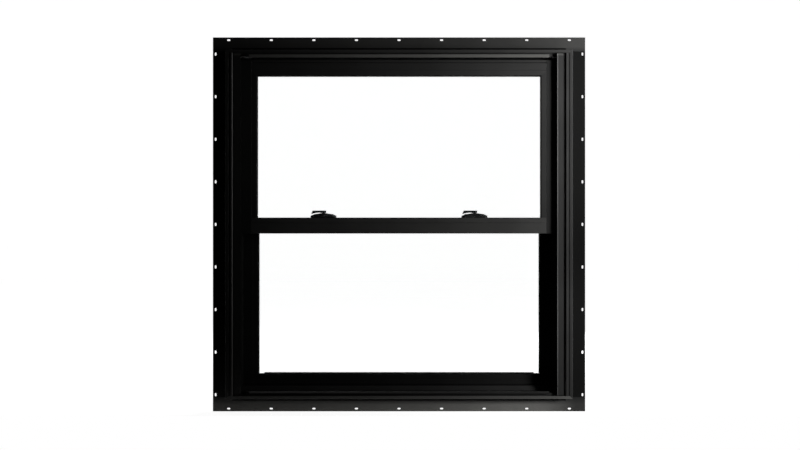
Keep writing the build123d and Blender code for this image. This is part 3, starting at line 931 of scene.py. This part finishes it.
def bulb(sign):
    """Flattened tube on one side of the seal's middle."""
    bpy.ops.object.select_all(action="DESELECT")
    axis = bulb_middle.y + sign * bulb_half
    bpy.ops.mesh.primitive_cylinder_add(
        vertices=bulb_sides, radius=bulb_half, depth=bulb_length,
        location=(0, axis, bulb_middle.z), rotation=(0, quarter_turn, 0),
    )
    tube = bpy.context.object
    tube.scale = (bulb_height / (2 * bulb_half), 1, 1)
    keep_place(tube)
    pick(tube, "FACE", lambda middle, normal: abs(normal.x) > STRAIGHT)
    bpy.ops.mesh.inset(thickness=bulb_height / 6)
    leave_edit()
    for end in (-1, 1):
        hollow = Vector((end * bulb_end, axis, bulb_middle.z))
        pick(tube, "FACE", lambda middle, normal: (middle - hollow).length < bulb_height / 100)
        bpy.ops.transform.translate(value=(-end * bulb_height, 0, 0))
        leave_edit()
    return tube


web_low = (-bulb_end, bulb_middle.y - bulb_half, bulb_low.z + bulb_height * web_foot)
web_high = (bulb_end, bulb_middle.y + bulb_half, bulb_high.z - bulb_height * web_drop)
web = bar("web", web_low, web_high)
pick(web, "EDGE", lambda middle, way: abs(way.x) > STRAIGHT)
bpy.ops.mesh.bevel(offset=bulb_height / 10, segments=2)
leave_edit()
bulb_seal = join("sill_bulb_seal", bulb(-1), bulb(1), web)
fit(bulb_seal, rubber)
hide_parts("sill_seal")

# %% [markdown]
# Two screws hold each lock on the check rail. A screw head is a short cylinder with a domed top and a
# cross recess. The recess could be drawn as a dark cross, but it has to be a real hole, so two
# crossed bars are cut out of the head. One screw is modelled, and its copies are tilted to lie on the
# domed housing.

# %% Black zinc
zinc, tree, surface = principled("black zinc screw", specular=0.5)
surface.inputs["Metallic"].default_value = 0.85
haze = use_group(tree, handling_haze, Size=300.0, Grain_Size=4000.0)
plated = blend_colour(tree, haze["Haze"], (0.03, 0.03, 0.033), (0.06, 0.058, 0.056))
worn = use_group(tree, edge_rub, Width=0.0003)["Rub"]
colour = blend_colour(tree, worn, plated, (0.2, 0.2, 0.2))
grained = bump(tree, haze["Grain"], rounded_edges(tree, radius=0.0002), strength=0.15, distance=0.0002)
finish(tree, surface, colour, between(tree, haze["Haze"], 0.36, 0.5), grained)
print("finish", zinc.name)

# %% One lock screw
screw_sides = 32
screw_radius = 0.003
screw_height = 0.0016
screw_crown = 0.0004
dome_steps = (0.35, 0.25)
recess_length = 0.0034
recess_width = 0.0008
recess_depth = 0.0009
screw_top = screw_height / 2
dome_rise = screw_crown * sum(dome_steps)

bpy.ops.object.select_all(action="DESELECT")
bpy.ops.mesh.primitive_cylinder_add(vertices=screw_sides, radius=screw_radius, depth=screw_height)
screw = keep_place(bpy.context.object)
pick(screw, "FACE", lambda middle, normal: normal.z > STRAIGHT)
for step in dome_steps:
    bpy.ops.mesh.inset(thickness=screw_radius * step)
    bpy.ops.transform.translate(value=(0, 0, screw_crown * step))
leave_edit()
rim = screw_radius * 0.95
pick(screw, "EDGE", lambda middle, way: abs(middle.z - screw_top) < TINY and middle.xy.length > rim)
bpy.ops.mesh.bevel(offset=dome_rise, segments=3)
leave_edit()

recess_floor = screw_top + dome_rise - recess_depth
for along, across in ((recess_length, recess_width), (recess_width, recess_length)):
    corner = (along / 2, across / 2, 2 * screw_height)
    cutter = bar("cutter", (-corner[0], -corner[1], recess_floor), corner)
    cut = screw.modifiers.new("recess", "BOOLEAN")
    cut.object = cutter
    cut.operation = "DIFFERENCE"
    apply_modifiers(screw)
    bpy.data.objects.remove(cutter)
print("screw", len(screw.data.polygons), "faces")

# %% Lock screws in their places
screw_reach = 0.022
screw_back = 0.008
screw_rise = 0.0168
screw_tilt = radians(15.8)
joints = {joint["name"]: joint for joint in frame["record"]["behaviour"]["joints"]}
for side in ("left", "right"):
    pivot = Vector(joints[f"{side}_lever_turn"]["pos_m"])
    for end, sign in (("a", -1), ("b", 1)):
        copy = bpy.data.objects.new(f"lock_screw_{side}_{end}", screw.data.copy())
        bpy.context.scene.collection.objects.link(copy)
        copy.location = (pivot.x + sign * screw_reach, pivot.y + screw_back, check_high + screw_rise)
        copy.rotation_euler = (0, sign * screw_tilt, 0)
        fit(keep_place(copy), zinc)
bpy.data.objects.remove(screw)

# %% [markdown]
# The thumb button of each tilt latch is ribbed for grip. One rib starts as a small bar, its top edges
# are rounded, and an array repeats it across the button. A loop makes the ribs of both latches.

# %% Ribs on the tilt latches
rib_width = 0.0008
rib_height = 0.0007
rib_pitch = 0.0017
rib_count = 4
grip_length = 0.0125
grip_place = 0.0165
latch_low, latch_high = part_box("tilt_latch_left")
grip_middle = abs(latch_high.x) + grip_place
rib_middle = (latch_low.y + latch_high.y) / 2
rib_half = grip_length / 2 - rib_width
rib_foot = latch_high.z - rib_height / 4
rib_top = latch_high.z + rib_height
for side, sign in (("left", -1), ("right", 1)):
    first = sign * grip_middle - rib_pitch * (rib_count - 1) / 2
    low = (first - rib_width / 2, rib_middle - rib_half, rib_foot)
    rib = bar(f"latch_ribs_{side}", low, (first + rib_width / 2, rib_middle + rib_half, rib_top))
    pick(rib, "EDGE", lambda middle, way: middle.z > rib_top - rib_height / 2)
    bpy.ops.mesh.bevel(offset=rib_width / 3, segments=3)
    leave_edit()
    repeat_along_x(rib, rib_pitch, rib_count)
    fit(rib, housing_paint)

# %% [markdown]
# The last cell counts the CAD nodes that took a finish and names the ones that did not.

# %% Count the dressed nodes
plain = [name for name in nodes if name not in dressed]
print("dressed", len(dressed), "of", len(nodes), "replaced", plain)
